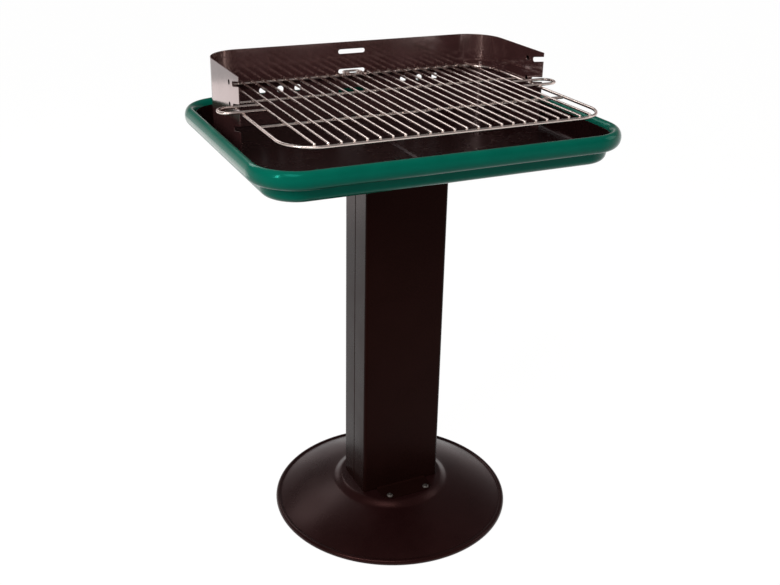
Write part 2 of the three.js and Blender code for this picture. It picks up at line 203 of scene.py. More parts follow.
def report(piece, *nodes):
    """Print how far a piece's box departs from its nodes' box, in millimetres."""
    corners = [vert.co for vert in piece.data.vertices]
    low = [min(co[i] for co in corners) for i in range(3)]
    high = [max(co[i] for co in corners) for i in range(3)]
    words = f"{piece.name}: {len(piece.data.polygons)} faces"
    if nodes:
        boxes = [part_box(node) for node in nodes]
        below = [round((low[i] - min(box[0][i] for box in boxes)) * 1000, 1) for i in range(3)]
        above = [round((high[i] - max(box[1][i] for box in boxes)) * 1000, 1) for i in range(3)]
        words += f", low corner off by {below}, high corner by {above}"
    print(words)


# %% [markdown]
# ## Colours and nodes
# Colours are written as they would be picked on a screen, in sRGB hex, and one function turns them to
# the linear values that the shader works in. One more function adds any node, so that each finish below
# reads as a short list of what is mixed with what. No coat has one colour and one gloss all over, so a
# last function lets both drift together over the patches of one noise.

# %% Hex colours, one way to add a node, and drift
def linear(hex_colour):
    """An sRGB hex colour as linear red, green, blue and an alpha of 1."""
    channels = [int(hex_colour[i:i + 2], 16) / 255 for i in (1, 3, 5)]
    return [c / 12.92 if c <= 0.04045 else ((c + 0.055) / 1.055) ** 2.4 for c in channels] + [1]


def add_node(tree, kind, sockets=None, **settings):
    """Add a node, set its own settings, and give its sockets a value or the output that feeds them."""
    node = tree.nodes.new(kind)
    for name, value in settings.items():
        setattr(node, name, value)
    for name, value in (sockets or {}).items():
        if isinstance(value, bpy.types.NodeSocket):
            tree.links.new(value, node.inputs[name])
        else:
            node.inputs[name].default_value = value
    return node


def new_finish(name):
    """An empty node material and its tree."""
    material = bpy.data.materials.new(name)
    material.use_nodes = True
    material.node_tree.nodes.clear()
    return material, material.node_tree


# Noise counts its patches per metre, so 1000 over a size in millimetres gives patches of that size.
FINE_GRAIN, PANEL_WAVE, LACQUER_DRIFT, ENAMEL_DRIFT = 1000 / 6, 1000 / 90, 1000 / 60, 1000 / 45
# Most values of a noise lie between these two, which are stretched over the whole range of a gloss.
NOISE_LOW, NOISE_HIGH = 0.3, 0.7
finishes = {}


def drifting(tree, patches, thin, thick, gloss, spread):
    """A colour between two coats, and a roughness from a gloss up to its multiple, after one noise."""
    colour = add_node(tree, "ShaderNodeMix", {
        0: patches, 6: linear(thin), 7: linear(thick)}, data_type="RGBA")
    sheen = add_node(tree, "ShaderNodeMapRange", {
        "Value": patches, "From Min": NOISE_LOW, "From Max": NOISE_HIGH,
        "To Min": gloss, "To Max": gloss * spread})
    return colour.outputs[2], sheen.outputs["Result"]


# %% [markdown]
# ## Baked black lacquer on the foot and the column
# Foot and column are sprayed with a stoving lacquer and baked. Sprayed lacquer dries with a fine orange
# peel, and folded sheet under it is never quite flat, so long reflections wander a little. A bump from
# two noises gives both: one of 6 mm for the orange peel, which is really finer but would not show, and
# one of 90 mm for the sheet. The colour drifts between two warm near-blacks, as thin and thick lacquer do.
# The brown pigment also tints what the lacquer mirrors head on, and leaves grazing reflections white, so
# the column's front stays nearly black beside its pale left side. The pressed foot took a thicker coat,
# which mirrors more.

# %% Black lacquer
def baked_black_lacquer(name, thin, thick, gloss, index, tint):
    """Sprayed and baked black lacquer: dark, half glossy, faintly brown."""
    material, tree = new_finish(name)
    place = add_node(tree, "ShaderNodeTexCoord").outputs["Object"]
    drift = add_node(tree, "ShaderNodeTexNoise", {"Vector": place, "Scale": LACQUER_DRIFT, "Detail": 3})
    peel = add_node(tree, "ShaderNodeTexNoise", {"Vector": place, "Scale": FINE_GRAIN, "Detail": 2})
    panel = add_node(tree, "ShaderNodeTexNoise", {"Vector": place, "Scale": PANEL_WAVE, "Detail": 1})
    colour, sheen = drifting(tree, drift.outputs["Fac"], thin, thick, gloss, 1.4)
    waves = add_node(tree, "ShaderNodeBump", {
        "Height": panel.outputs["Fac"], "Strength": 0.5, "Distance": 0.0012})
    bumps = add_node(tree, "ShaderNodeBump", {
        "Height": peel.outputs["Fac"], "Normal": waves.outputs["Normal"],
        "Strength": 0.3, "Distance": 0.0001})
    shader = add_node(tree, "ShaderNodeBsdfPrincipled", {
        "Base Color": colour, "Roughness": sheen, "IOR": index,
        "Specular Tint": tint, "Normal": bumps.outputs["Normal"]})
    add_node(tree, "ShaderNodeOutputMaterial", {"Surface": shader.outputs["BSDF"]})
    return material


finishes["gloss_black"] = baked_black_lacquer(
    "baked black lacquer, a thick coat on the pressed foot",
    "#190909", "#241010", 0.24, 1.4, (0.5, 0.22, 0.2, 1))
finishes["column_black"] = baked_black_lacquer(
    "baked black lacquer, a thin coat on folded steel",
    "#150806", "#1E0D0B", 0.24, 1.2, (0.45, 0.12, 0.1, 1))

# %% [markdown]
# ## Vitreous enamel on the tray, the pan and the guard
# Enamel is glass melted onto steel. It is far glossier than lacquer and mirrors what stands near it, and
# it pulls into slow waves while it melts. All three enamels share that recipe, and only colour, gloss,
# tint and the depth of the waves differ, so one function makes them. The green one keeps its colour in
# head-on reflections. The guard's coat is thin and brown over the steel, and the pan's is duller,
# because it is fired with more filler to stand the coals.

# %% Green and black enamel
def vitreous_enamel(name, thin, thick, gloss, index, tint, wave):
    """Fired enamel: glassy, slightly wavy, its colour drifting between a thin and a thick coat."""
    material, tree = new_finish(name)
    place = add_node(tree, "ShaderNodeTexCoord").outputs["Object"]
    drift = add_node(tree, "ShaderNodeTexNoise", {"Vector": place, "Scale": ENAMEL_DRIFT, "Detail": 4})
    peel = add_node(tree, "ShaderNodeTexNoise", {"Vector": place, "Scale": FINE_GRAIN, "Detail": 1})
    panel = add_node(tree, "ShaderNodeTexNoise", {"Vector": place, "Scale": PANEL_WAVE, "Detail": 1})
    colour, sheen = drifting(tree, drift.outputs["Fac"], thin, thick, gloss, 1.6)
    waves = add_node(tree, "ShaderNodeBump", {
        "Height": panel.outputs["Fac"], "Strength": 0.5, "Distance": wave / 1000})
    bumps = add_node(tree, "ShaderNodeBump", {
        "Height": peel.outputs["Fac"], "Normal": waves.outputs["Normal"],
        "Strength": 0.2, "Distance": 0.00015})
    shader = add_node(tree, "ShaderNodeBsdfPrincipled", {
        "Base Color": colour, "Roughness": sheen, "IOR": index,
        "Specular Tint": tint, "Normal": bumps.outputs["Normal"]})
    add_node(tree, "ShaderNodeOutputMaterial", {"Surface": shader.outputs["BSDF"]})
    return material


finishes["green_enamel"] = vitreous_enamel(
    "green vitreous enamel, fired on deep-drawn steel",
    "#035546", "#066855", 0.12, 1.3, (0.05, 0.8, 0.62, 1), 0.8)
finishes["black_enamel"] = vitreous_enamel(
    "black vitreous enamel, a thin brown coat fired on bent sheet",
    "#36201E", "#42292A", 0.09, 2, (1, 0.76, 0.72, 1), 1.4)
finishes["pan_enamel"] = vitreous_enamel(
    "black vitreous enamel, a dull coat fired on the pan",
    "#160909", "#221010", 0.2, 1.25, (0.6, 0.22, 0.22, 1), 1)

# %% [markdown]
# ## Chrome on the wire and zinc on the screws
# Bright chrome on drawn wire mirrors everything around it, a little cloudily. Its colour is a metal's
# reflectance, here a warm light grey, and its IOR is left alone, as for any metal. The screws and nuts are
# only zinc plated: a dull grey with small patches where the bath left its crystals. Those in the pan are
# burnt nearly black.

# %% Chrome and zinc
def plated_metal(name, dark, light, gloss, patch):
    """A plated metal: its tint and its gloss drift over patches of a given size in millimetres."""
    material, tree = new_finish(name)
    place = add_node(tree, "ShaderNodeTexCoord").outputs["Object"]
    cloud = add_node(tree, "ShaderNodeTexNoise", {"Vector": place, "Scale": 1000 / patch, "Detail": 3})
    colour, sheen = drifting(tree, cloud.outputs["Fac"], dark, light, gloss, 1.8)
    bumps = add_node(tree, "ShaderNodeBump", {
        "Height": cloud.outputs["Fac"], "Strength": 0.2, "Distance": 0.0001})
    shader = add_node(tree, "ShaderNodeBsdfPrincipled", {
        "Base Color": colour, "Roughness": sheen, "Metallic": 1, "Normal": bumps.outputs["Normal"]})
    add_node(tree, "ShaderNodeOutputMaterial", {"Surface": shader.outputs["BSDF"]})
    return material


finishes["chrome"] = plated_metal("bright chrome plate on drawn wire", "#CDBDB6", "#DCCFC8", 0.2, 14)
finishes["zinc"] = plated_metal("zinc plate on steel screws", "#625C58", "#7E7873", 0.42, 4)
finishes["burnt_zinc"] = plated_metal("zinc plate burnt dark by the coals", "#241C1A", "#3A302C", 0.4, 4)
print("finishes:", sorted(finishes))

# %% [markdown]
# ## The pressed foot
# A disc of steel is pressed into a low dome with a raised flat seat for the column, and its edge is
# curled under so that no raw edge touches the ground. A cone of faces could stand in for it, but the
# eye reads the small radii: the soft shoulder that a press leaves below the seat, the hollow sweep of the
# dome, and the curl. So half of its section is drawn from the middle out and spun once around.

# %% Foot
FOOT_RADIUS, FOOT_TOP, FOOT_SHEET, CURL = 220, 52, 1.5, 5.5
SEAT_FLAT, SHOULDER_RUN, SHOULDER_DROP, SHOULDER_EASE = 93, 17, 10, 5
DOME_RUN_SHARE, DOME_DROP_SHARE = 0.55, 0.35


def pressed_foot():
    """Draw half the section, spin it round, give it its wall."""
    bm, end = start(0, 0, FOOT_TOP)
    seat_edge = Vector((SEAT_FLAT, 0, FOOT_TOP))
    valley = seat_edge + Vector((SHOULDER_RUN, 0, -SHOULDER_DROP))
    curl_centre = Vector((FOOT_RADIUS - CURL, 0, CURL))
    curl_start = curl_centre + Matrix.Rotation(math.radians(-45), 3, "Y") @ Vector((0, 0, CURL))
    fall = curl_start - valley
    pull = valley + Vector((DOME_RUN_SHARE * fall.x, 0, DOME_DROP_SHARE * fall.z))
    leaving = seat_edge + SHOULDER_EASE * ALONG_X
    arriving = valley - SHOULDER_EASE * (pull - valley).normalized()
    shoulder = interpolate_bezier(seat_edge, leaving, arriving, valley, 14)
    dome = interpolate_bezier(
        valley, valley.lerp(pull, 2 / 3), curl_start.lerp(pull, 2 / 3), curl_start, 20)
    end = reach(bm, end, *shoulder, *dome[1:])
    swing(bm, end, curl_centre, ALONG_Y, 270, 18)
    turned(bm, 128)
    thicken(bm, FOOT_SHEET)
    return bm


finish_piece("foot_pressing", pressed_foot(), "stand", "gloss_black", "base_dome")

# %% [markdown]
# ## The folded column
# The column is two folded halves. The rear half steps in by one sheet thickness at its edges and tucks
# inside the front half, which leaves the long seam on both sides. Each half has a flange at its foot and
# at its head, folded out of its web between two relief notches. The plan is drawn as one line, pushed up
# in three strips, the notches are cleared, and the flanges are swung out of the web's edges.

# %% The column's plan
COLUMN_FOOT, COLUMN_HEAD, COLUMN_SHEET = 52.3, 696.7, 1.5
HALF_WIDE, HALF_DEEP, COLUMN_CORNER, FLANGE_BEND = 76, 46, 6, 3
FLANGE_HALF, NOTCH, FLANGE_END, FLANGE_CORNER = 50, 1.5, 84.6, 15
LAP_REACH, JOGGLE, SEAM_GAP = 12, 2, 0.3


def plan_line(edge):
    """Half of the column's plan at its foot, its web towards -Y, after a given left edge."""
    bm, end = start(*edge[0], COLUMN_FOOT)
    end = reach(bm, end, *[(x, y, COLUMN_FOOT) for x, y in edge[1:]])
    corner_x, corner_y = HALF_WIDE - COLUMN_CORNER, COLUMN_CORNER - HALF_DEEP
    end = reach(bm, end, (-HALF_WIDE, corner_y, COLUMN_FOOT))
    end = swing(bm, end, (-corner_x, corner_y, COLUMN_FOOT), ALONG_Z, 90, 6)
    stops = [-FLANGE_HALF - NOTCH, -FLANGE_HALF, FLANGE_HALF, FLANGE_HALF + NOTCH, corner_x]
    end = reach(bm, end, *[(x, -HALF_DEEP, COLUMN_FOOT) for x in stops])
    end = swing(bm, end, (corner_x, corner_y, COLUMN_FOOT), ALONG_Z, 90, 6)
    reach(bm, end, *[(-x, y, COLUMN_FOOT) for x, y in reversed(edge)])
    return bm


def on_web(place, half):
    """Whether a place in millimetres is on the web, within a half width of its middle."""
    return abs(place.x) < half and place.y < SAME_PLACE - HALF_DEEP


# %% [markdown]
# ### Notches and flanges
# A press cuts a notch on each side of a flange before it folds, or else the web would tear there. So the
# strip that a flange and its notches take is deleted first, and the web's edge between the notches is
# swung over the bend radius and pushed out. One function draws both halves, and the rear one is turned.

# %% The column's halves
def fold_out(bm, height, degrees):
    """Swing the web's edge at a height out into a flange and round its two corners."""
    edges = [e for e in bm.edges if all(
        on_web(v.co * 1000, FLANGE_HALF + SAME_PLACE) and abs(v.co.z * 1000 - height) < SAME_PLACE
        for v in e.verts)]
    verts = once(v for e in edges for v in e.verts)
    end = swing(bm, edges + verts, (0, -HALF_DEEP - FLANGE_BEND, height), ALONG_X, degrees, 6)
    end = push(bm, end, 0, HALF_DEEP + FLANGE_BEND - FLANGE_END, 0)
    bmesh.ops.bevel(bm, geom=verts_of(end), offset=FLANGE_CORNER / 1000, segments=8,
                    profile=0.5, affect="VERTICES", material=-1)


def face_out(bm, test, direction):
    """Turn all faces over if those that pass a test look against a direction."""
    chosen = [f for f in bm.faces if test(f.calc_center_median() * 1000)]
    if sum(f.normal.dot(direction) * f.calc_area() for f in chosen) < 0:
        bmesh.ops.reverse_faces(bm, faces=bm.faces[:])


def column_half(edge, turn_degrees):
    """One folded half with its two flanges."""
    bm = plan_line(edge)
    strip = COLUMN_SHEET + FLANGE_BEND
    low, high = COLUMN_FOOT + strip, COLUMN_HEAD - strip
    end = push(bm, bm.verts[:] + bm.edges[:], 0, 0, strip)
    end = push(bm, end, 0, 0, high - low)
    push(bm, end, 0, 0, strip)
    centres = [(f, f.calc_center_median() * 1000) for f in bm.faces]
    notched = [f for f, at in centres if on_web(at, FLANGE_HALF + NOTCH) and not low < at.z < high]
    bmesh.ops.delete(bm, geom=notched, context="FACES")
    fold_out(bm, low, -90)
    fold_out(bm, high, 90)
    merged(bm)
    face_out(bm, lambda at: on_web(at, FLANGE_HALF) and low < at.z < high, -ALONG_Y)
    thicken(bm, COLUMN_SHEET)
    turn = Matrix.Rotation(math.radians(turn_degrees), 3, "Z")
    bmesh.ops.rotate(bm, verts=bm.verts[:], cent=(0, 0, 0), matrix=turn)
    return bm


LAP_X = HALF_WIDE - COLUMN_SHEET - SEAM_GAP
front_edge = [(-HALF_WIDE, 0)]
rear_edge = [(-LAP_X, LAP_REACH), (-LAP_X, -SEAM_GAP), (-HALF_WIDE, -SEAM_GAP - JOGGLE)]
finish_piece("column_front_half", column_half(front_edge, 0), "stand", "gloss_black",
             "column_front_shell", edge=0.3, finish="column_black")
finish_piece("column_rear_half", column_half(rear_edge, 180), "stand", "gloss_black",
             "column_rear_shell", edge=0.3, finish="column_black")

# %% [markdown]
# ## Sweeping a section round a rectangle with round corners
# Tray, pan and the grid's frame all follow the same kind of plan. Their section is drawn once at the
# right-hand front corner, then it goes round: straight, a quarter turn, and so on, four times over.

# %% The sweep
def sweep_round(bm, corner_x, corner_y, middle_y, steps):
    """Take the section drawn at the right-hand front corner all the way round."""
    end = bm.verts[:] + bm.edges[:]
    straights = [(0, 2 * corner_y), (-2 * corner_x, 0), (0, -2 * corner_y), (2 * corner_x, 0)]
    centres = [(corner_x, corner_y), (-corner_x, corner_y), (-corner_x, -corner_y), (corner_x, -corner_y)]
    for (step_x, step_y), (x, y) in zip(straights, centres):
        end = push(bm, end, step_x, step_y, 0)
        end = swing(bm, end, (x, y + middle_y, 0), ALONG_Z, 90, steps)
    merged(bm)


# %% [markdown]
# ## The green tray
# The tray is deep drawn: a flat floor, a small bottom radius, a wall that leans out a little, and a rim
# rolled outwards into a fat bead. The photograph shows the bead taller than it is wide. It is what the eye
# meets first, so it is a real roll of sheet and not a solid edge. The inner face is drawn, the roll is
# swung as a circle and stretched in height, and the sheet's thickness is added below and outside it.

# %% Tray
CORNER_X, CORNER_Y, FLOOR_RADIUS, FLAT_MARGIN = 238, 158, 43, 5
TRAY_FLOOR, TRAY_SHEET, BOTTOM_RADIUS = 698.2, 1.2, 11.4
WALL_HEAD, WALL_HEAD_HEIGHT, RIM_OUTER, RIM_TOP, RIM_HALF_HEIGHT = 59, 741, 77, 750, 14.2
wall_rise = WALL_HEAD_HEIGHT - TRAY_FLOOR - BOTTOM_RADIUS
wall_run = WALL_HEAD - FLOOR_RADIUS
wall_slope = math.acos(BOTTOM_RADIUS / math.hypot(wall_run, wall_rise)) - math.atan2(wall_rise, wall_run)
wall_lean = math.degrees(wall_slope)
rim_height = RIM_TOP - RIM_HALF_HEIGHT
rim_inner = WALL_HEAD - (WALL_HEAD_HEIGHT - rim_height) * math.tan(wall_slope)
rim_half_width = (RIM_OUTER - rim_inner) / 2
print(f"the tray's wall leans out by {wall_lean:.1f} degrees")
print(f"its bead is {2 * rim_half_width:.1f} mm wide and {2 * RIM_HALF_HEIGHT} mm high")


def dish_section(height, radius):
    """The flat floor's edge and the bottom radius, drawn outwards at the right-hand front corner."""
    bm, end = start(CORNER_X + FLOOR_RADIUS - FLAT_MARGIN, -CORNER_Y, height)
    end = reach(bm, end, (CORNER_X + FLOOR_RADIUS, -CORNER_Y, height))
    centre = (CORNER_X + FLOOR_RADIUS, -CORNER_Y, height + radius)
    return bm, swing(bm, end, centre, ALONG_Y, wall_lean - 90, 8)


def floor_loop(bm, height):
    """The open edges round the flat floor."""
    return [e for e in bm.edges if e.is_boundary and all(
        abs(v.co.z * 1000 - height) < SAME_PLACE for v in e.verts)]


def rolled_tray():
    """Draw the inner face with its rolled rim, sweep it, close the floor."""
    bm, end = dish_section(TRAY_FLOOR, BOTTOM_RADIUS)
    end = reach(bm, end, (CORNER_X + rim_inner, -CORNER_Y, rim_height))
    wall = set(bm.verts)
    centre = Vector((CORNER_X + rim_inner + rim_half_width, -CORNER_Y, rim_height))
    swing(bm, end, centre, ALONG_Y, 300, 24)
    roll = [v for v in bm.verts if v not in wall]
    stretch = (1, 1, RIM_HALF_HEIGHT / rim_half_width)
    bmesh.ops.scale(bm, verts=roll, vec=stretch, space=Matrix.Translation(-centre / 1000))
    sweep_round(bm, CORNER_X, CORNER_Y, 0, 14)
    bmesh.ops.contextual_create(bm, geom=floor_loop(bm, TRAY_FLOOR))
    merged(bm)
    face_out(bm, lambda at: at.z < TRAY_FLOOR + SAME_PLACE, ALONG_Z)
    thicken(bm, TRAY_SHEET)
    return bm


finish_piece("rolled_tray", rolled_tray(), "stand", "green_enamel", "tray", edge=0.2)

# %% [markdown]
# ## The fire pan
# A black enamelled pan lies in the tray and follows its shape. A long rib pressed into the floor from
# front to back keeps the thin sheet from warping over the coals. The floor is filled around the rib's
# outline, and the rib rises out of its own face in three small insets, which gives it soft shoulders.

# %% Fire pan
PAN_FLOOR, PAN_SHEET, PAN_RADIUS, PAN_TOP = 699.7, 1.2, 9.9, 740.7
RIB_HALF, RIB_FRONT, RIB_REAR, RIB_MARGIN = 7, -183, 143, 1
RIB_STEPS = ((RIB_MARGIN, 0), (1.1, 0.5), (1.8, 1.8), (1.1, 0.5))  # inset and lift of each step


def rib_outline(bm, half):
    """Draw the rib's outline on the pan's floor and return its edges."""
    before = set(bm.edges)
    end = [bm.verts.new(mm(half, RIB_FRONT, PAN_FLOOR))]
    end = reach(bm, end, (half, RIB_REAR, PAN_FLOOR))
    end = swing(bm, end, (0, RIB_REAR, PAN_FLOOR), ALONG_Z, 180, 10)
    end = reach(bm, end, (-half, RIB_FRONT, PAN_FLOOR))
    swing(bm, end, (0, RIB_FRONT, PAN_FLOOR), ALONG_Z, 180, 10)
    drawn = [e for e in bm.edges if e not in before]
    drawn_verts = once(v for e in drawn for v in e.verts)
    bmesh.ops.remove_doubles(bm, verts=drawn_verts, dist=SAME_PLACE / 1000)
    return [e for e in bm.edges if e not in before]


def ribbed_pan():
    """Draw and sweep the wall, fill the floor round the rib, press the rib up."""
    bm, end = dish_section(PAN_FLOOR, PAN_RADIUS)
    tip = verts_of(end)[0].co * 1000
    rise = PAN_TOP - tip.z
    reach(bm, end, (tip.x + rise * math.tan(wall_slope), tip.y, PAN_TOP))
    sweep_round(bm, CORNER_X, CORNER_Y, 0, 14)
    rim = floor_loop(bm, PAN_FLOOR)
    outline = rib_outline(bm, RIB_HALF + RIB_MARGIN)
    bmesh.ops.triangle_fill(bm, edges=rim + outline, use_beauty=True)
    rib = bmesh.ops.contextual_create(bm, geom=outline)["faces"]
    merged(bm)
    face_out(bm, lambda at: at.z < PAN_FLOOR + SAME_PLACE, ALONG_Z)
    for inset, lift in RIB_STEPS:
        bmesh.ops.inset_region(bm, faces=rib, thickness=inset / 1000, depth=lift / 1000,
                               use_even_offset=True)
    thicken(bm, PAN_SHEET)
    return bm


finish_piece("ribbed_pan", ribbed_pan(), "stand", "black_enamel", "fire_pan",
             edge=0.2, finish="pan_enamel")

# %% [markdown]
# ## The slotted wind guard
# One strip of sheet is bent round three sides of the pan and held by three tabs folded out of its lower
# edge. The strip is drawn like the column: its inner face in plan, pushed up, with notches cleared beside
# the tabs and the tabs swung in under the wall.

# %% The guard's strip and tabs
GUARD_FOOT, GUARD_TOP, GUARD_SHEET = 700, 835, 1.2
WING_X, WING_FRONT, GUARD_BACK, GUARD_CORNER = 271.3, -5, 198.3, 58.8
TAB_Y, TAB_HALF, TAB_LENGTH, TAB_BEND, TAB_CORNER, TAB_NOTCH = 89.07, 11, 18, 1.5, 6, 1.5


def guard_line():
    """The strip's inner face in plan, from the left wing's front edge round to the right one's."""
    z = GUARD_FOOT
    corner_x, corner_y = WING_X - GUARD_CORNER, GUARD_BACK - GUARD_CORNER
    stops = [-TAB_HALF - TAB_NOTCH, -TAB_HALF, TAB_HALF, TAB_HALF + TAB_NOTCH]
    bm, end = start(-WING_X, WING_FRONT, z)
    end = reach(bm, end, *[(-WING_X, TAB_Y + stop, z) for stop in stops], (-WING_X, corner_y, z))
    end = swing(bm, end, (-corner_x, corner_y, z), ALONG_Z, -90, 16)
    end = reach(bm, end, *[(stop, GUARD_BACK, z) for stop in stops], (corner_x, GUARD_BACK, z))
    end = swing(bm, end, (corner_x, corner_y, z), ALONG_Z, -90, 16)
    reach(bm, end, *[(WING_X, TAB_Y - stop, z) for stop in stops], (WING_X, WING_FRONT, z))
    return bm


def beside(co, middle, half, low, high):
    """Whether a place is within a half width of a tab's middle and between two heights."""
    at = co * 1000
    return low - SAME_PLACE < at.z < high + SAME_PLACE and (at.xy - middle.xy).length < half


def fold_tab(bm, middle, inwards):
    """Clear the notches round a tab's place and fold the tab in under the wall."""
    top = GUARD_FOOT + GUARD_SHEET + TAB_BEND
    half = TAB_HALF + TAB_NOTCH
    strip = [f for f in bm.faces if beside(f.calc_center_median(), middle, half, GUARD_FOOT, top)]
    bmesh.ops.delete(bm, geom=strip, context="FACES")
    half = TAB_HALF + SAME_PLACE
    edges = [e for e in bm.edges if all(beside(v.co, middle, half, top, top) for v in e.verts)]
    verts = once(v for e in edges for v in e.verts)
    centre = middle + inwards * TAB_BEND + ALONG_Z * top
    end = swing(bm, edges + verts, centre, ALONG_Z.cross(inwards), -90, 4)
    end = push(bm, end, *(inwards * (TAB_LENGTH - TAB_BEND)))
    bmesh.ops.bevel(bm, geom=verts_of(end), offset=TAB_CORNER / 1000, segments=6,
                    profile=0.5, affect="VERTICES", material=-1)


# %% [markdown]
# ### Slots and holes
# Each wing has three slots, open at the front and running down to the rear, so that the grid's lugs slide
# in and can't jump out. Behind the upper two is a round catch hole. The back has three slots for the
# grid's hook and six air holes. All are cut at once with one mesh of punches, because a boolean leaves
# what a real punch leaves: walls as thick as the sheet. A punch is a disc, halved and drawn apart where it
# has to cut a slot.

# %% Punches and the guard
SEAT_Y, SEAT_HEIGHTS, SLOT_HALF, SLOT_RISE, SLOT_SLOPE = 24, (817, 782, 747), 4, 1.2, 11.3
WING_SLOT, REAR_SLOT, CATCH_RADIUS, CATCH_BEHIND = 33, 43, 4.5, 21
AIR_RADIUS, AIR_HEIGHT, AIR_PLACES = 6, 760.6, (-168, -135.5, -103, 103, 135.5, 168)
PUNCH_PAST = 4
CUT_MERGE = 0.005


def punch(bm, radius, length, half_through, place):
    """A punch that goes through along X: a disc, or a disc drawn out along -Y by a length."""
    verts = bmesh.ops.create_circle(bm, cap_ends=True, radius=radius / 1000, segments=32,
                                    matrix=FACING_X)["verts"]
    bmesh.ops.translate(bm, verts=[v for v in verts if v.co.y < -1e-9], vec=mm(0, -length, 0))
    bmesh.ops.translate(bm, verts=verts, vec=mm(-half_through, 0, 0))
    face = once(f for v in verts for f in v.link_faces)
    end = bmesh.ops.extrude_face_region(bm, geom=face)["geom"]
    bmesh.ops.translate(bm, verts=verts_of(end), vec=mm(2 * half_through, 0, 0))
    bmesh.ops.transform(bm, matrix=place, verts=once([*verts, *verts_of(end)]))


def punches():
    """All punches for the guard's openings in one mesh."""
    bm = bmesh.new()
    through = WING_X + PUNCH_PAST
    slope = Matrix.Rotation(math.radians(-SLOT_SLOPE), 4, "X") @ Matrix.Translation(mm(0, 0, SLOT_RISE))
    quarter = Matrix.Rotation(math.radians(90), 4, "Z")
    for height in SEAT_HEIGHTS:
        punch(bm, SLOT_HALF, WING_SLOT, through, Matrix.Translation(mm(0, SEAT_Y, height)) @ slope)
    for height in SEAT_HEIGHTS[:2]:
        punch(bm, CATCH_RADIUS, 0, through, Matrix.Translation(mm(0, SEAT_Y + CATCH_BEHIND, height)))
    for height in SEAT_HEIGHTS:
        place = Matrix.Translation(mm(-REAR_SLOT / 2, GUARD_BACK, height + SLOT_RISE))
        punch(bm, SLOT_HALF, REAR_SLOT, PUNCH_PAST, place @ quarter)
    for x in AIR_PLACES:
        punch(bm, AIR_RADIUS, 0, PUNCH_PAST, Matrix.Translation(mm(x, GUARD_BACK, AIR_HEIGHT)) @ quarter)
    return bm


def punched(bm, tools):
    """Cut the tools out of a drawing with an exact boolean and return the result as a new drawing."""
    made = []
    for name, drawing in (("blank", bm), ("punches", tools)):
        bmesh.ops.recalc_face_normals(drawing, faces=drawing.faces[:])
        made.append(placed(name, drawing))
    cut = made[0].modifiers.new("cut", "BOOLEAN")
    cut.operation = "DIFFERENCE"
    cut.solver = "EXACT"
    cut.object = made[1]
    bpy.context.view_layer.update()
    result = bmesh.new()
    result.from_object(made[0], bpy.context.evaluated_depsgraph_get())
    for helper in made:
        bpy.data.objects.remove(helper)
    bmesh.ops.remove_doubles(result, verts=result.verts[:], dist=CUT_MERGE / 1000)
    return result


def slotted_guard():
    """Draw the strip, fold its tabs, give it its wall and punch it."""
    bm = guard_line()
    end = push(bm, bm.verts[:] + bm.edges[:], 0, 0, GUARD_SHEET + TAB_BEND)
    push(bm, end, 0, 0, GUARD_TOP - GUARD_FOOT - GUARD_SHEET - TAB_BEND)
    fold_tab(bm, Vector((-WING_X, TAB_Y, 0)), ALONG_X)
    fold_tab(bm, Vector((0, GUARD_BACK, 0)), -ALONG_Y)
    fold_tab(bm, Vector((WING_X, TAB_Y, 0)), -ALONG_X)
    merged(bm)
    face_out(bm, lambda at: at.y > GUARD_BACK - SAME_PLACE, -ALONG_Y)
    thicken(bm, GUARD_SHEET)
    return punched(bm, punches())


finish_piece("slotted_guard", slotted_guard(), "stand", "black_enamel", "wind_guard", edge=0.25)

# %% [markdown]
# ## Screws and nuts
# Eleven pan-head screws hold it all together. Up close a screw is its cross recess, the small radius of
# its head and the thread that shows past the nut, so those are drawn. The recess is a cross punched into
# the head, its arms pushed out of the edges of one small square. The nut is a hexagon filled round its
# hole, with its edges bevelled.

# %% Screws and nuts
FLANGE_SCREW = {"shank": 2.5, "head": 5.5, "rise": 3.2, "flats": 8, "nut": 4, "tail": 2}
GUARD_SCREW = {"shank": 2, "head": 4, "rise": 2.6, "flats": 7, "nut": 3.2, "tail": 1.5}
# Shares of the head's radius, then of its rise, then of the shank's radius
CROWN, RECESS_HALF, RECESS_ARM = 0.38, 0.11, 0.42
RECESS_DEPTH, RECESS_TAPER = 0.6, 0.55
THREAD_PITCH, THREAD_ROOT, THREAD_TIP = 0.35, 0.84, 0.8
CROWN_MARGIN, NUT_PLAY = 0.5, 0.1
HEAD_EDGE, NUT_EDGE = 0.12, 0.3
# Where the screws stand, and the heights of the sheet under their heads and of the nuts' undersides
FLANGE_SCREW_X, FLANGE_SCREW_Y, GUARD_SCREW_X, GUARD_SCREW_Y = 36.7, 76.6, 262.3, 189.3
FOOT_HEADS, FOOT_NUTS, PAN_HEADS, PAN_NUTS, TAB_HEADS, TAB_NUTS = 54.1, 46.2, 700, 690.9, 701.5, 693.5


def cross_punch(size):
    """A tapered cross that sinks into the head."""
    bm = bmesh.new()
    bmesh.ops.create_grid(bm, x_segments=1, y_segments=1, size=RECESS_HALF * size["head"] / 1000)
    for edge in bm.edges[:]:
        out = (edge.verts[0].co + edge.verts[1].co).normalized() * size["head"] * RECESS_ARM
        arm = bmesh.ops.extrude_edge_only(bm, edges=[edge])["geom"]
        bmesh.ops.translate(bm, verts=verts_of(arm), vec=out / 1000)
    bmesh.ops.translate(bm, verts=bm.verts[:], vec=mm(0, 0, size["rise"] + CROWN_MARGIN))
    end = verts_of(bmesh.ops.extrude_face_region(bm, geom=bm.faces[:])["geom"])
    bmesh.ops.scale(bm, verts=end, vec=(RECESS_TAPER, RECESS_TAPER, 1))
    bmesh.ops.translate(bm, verts=end, vec=mm(0, 0, -CROWN_MARGIN - RECESS_DEPTH * size["rise"]))
    return bm


